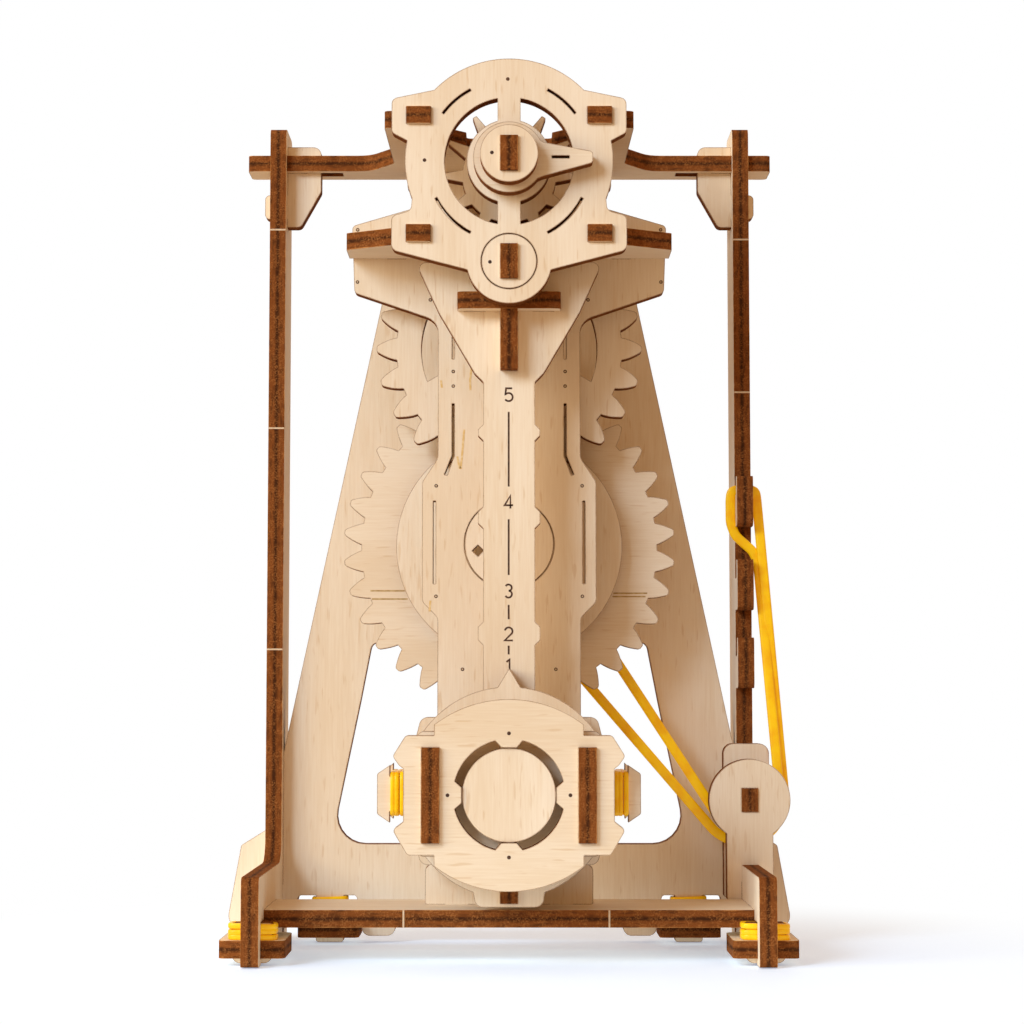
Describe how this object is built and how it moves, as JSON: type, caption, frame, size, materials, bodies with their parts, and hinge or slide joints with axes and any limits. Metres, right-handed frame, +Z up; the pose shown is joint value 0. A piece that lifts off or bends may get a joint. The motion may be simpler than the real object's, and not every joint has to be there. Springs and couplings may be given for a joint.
{
  "type": "desk pendulum model",
  "caption": "Slotted plywood desk pendulum with an A-frame back, swinging rod and sliding bob, escape wheel, gear train, pointer and a rubber drive band over a pulley.",
  "frame": {"origin": "middle of the overall box at the surface that the feet stand on", "axes": "+Z up, front of the model faces -Y, +X to the right seen from the front"},
  "size_m": [0.1386, 0.0778, 0.2075],
  "materials": {
    "birch_plywood": "unfinished birch plywood faces with laser burnt edges",
    "rubber_band": "glossy natural rubber, yellow"
  },
  "bodies": {
    "frame": {"side_panel_left": "birch_plywood", "side_panel_right": "birch_plywood", "back_panel": "birch_plywood", "base_plate": "birch_plywood", "column_plate": "birch_plywood", "lower_shelf": "birch_plywood", "upper_shelf": "birch_plywood", "head_plate": "birch_plywood", "corner_bracket_left": "birch_plywood", "corner_bracket_right": "birch_plywood", "foot_plate_front_left": "birch_plywood", "foot_plate_front_right": "birch_plywood", "foot_plate_rear_left": "birch_plywood", "foot_plate_rear_right": "birch_plywood", "foot_keys": "birch_plywood", "foot_bands": "rubber_band", "pulley_front_plate": "birch_plywood", "pulley_rear_plate": "birch_plywood", "pulley_axle": "birch_plywood", "drive_band": "rubber_band"},
    "pulley": {"pulley_roller": "birch_plywood"},
    "pointer_train": {"escape_axle": "birch_plywood", "escape_front_disc": "birch_plywood", "escape_rear_disc": "birch_plywood", "escape_cap": "birch_plywood", "pointer_hub": "birch_plywood", "pointer": "birch_plywood", "escape_wheel": "birch_plywood", "escape_pinion": "birch_plywood"},
    "middle_train": {"middle_axle": "birch_plywood", "middle_front_disc": "birch_plywood", "middle_rear_disc": "birch_plywood", "middle_cap": "birch_plywood", "middle_spacer": "birch_plywood", "middle_gear": "birch_plywood", "middle_pinion": "birch_plywood"},
    "drive_train": {"drive_axle": "birch_plywood", "drive_front_disc": "birch_plywood", "drive_rear_disc": "birch_plywood", "drive_flange": "birch_plywood", "drive_gear": "birch_plywood", "band_drum": "birch_plywood", "winding_knob": "birch_plywood"},
    "pendulum": {"pendulum_axle": "birch_plywood", "pendulum_front_disc": "birch_plywood", "pendulum_front_collar": "birch_plywood", "pendulum_rear_collar": "birch_plywood", "pendulum_rear_disc": "birch_plywood", "pendulum_rod": "birch_plywood", "anchor": "birch_plywood", "rod_tee": "birch_plywood", "rod_key": "birch_plywood"},
    "bob": {"bob_front_plate": "birch_plywood", "bob_badge": "birch_plywood", "bob_hook_plate": "birch_plywood", "bob_pointer_plate": "birch_plywood", "bob_rear_plate": "birch_plywood", "bob_strips": "birch_plywood", "bob_stop": "birch_plywood", "bob_bands": "rubber_band"}
  },
  "joints": [
    {"name": "pendulum_swing", "type": "hinge", "parent": "frame", "child": "pendulum", "pos_m": [0, 0, 0.1602], "axis": [0, 1, 0], "range_deg": [-6, 6]},
    {"name": "bob_height", "type": "slide", "parent": "pendulum", "child": "bob", "axis": [0, 0, 1], "range_m": [0, 0.0629]},
    {"name": "middle_spin", "type": "hinge", "parent": "frame", "child": "middle_train", "pos_m": [0, 0, 0.1437], "axis": [0, 1, 0], "continuous": true},
    {"name": "pointer_spin", "type": "hinge", "parent": "frame", "child": "pointer_train", "pos_m": [0, 0, 0.1835], "axis": [0, 1, 0], "continuous": true},
    {"name": "drive_spin", "type": "hinge", "parent": "frame", "child": "drive_train", "pos_m": [0, 0, 0.0964], "axis": [0, 1, 0], "continuous": true},
    {"name": "pulley_spin", "type": "hinge", "parent": "frame", "child": "pulley", "pos_m": [0.058, 0, 0.0355], "axis": [0, 1, 0], "continuous": true}
  ],
  "couplings": [
    {"joint": "pointer_spin", "follows": "middle_spin", "ratio": -3},
    {"joint": "drive_spin", "follows": "middle_spin", "ratio": -0.23529}
  ]
}
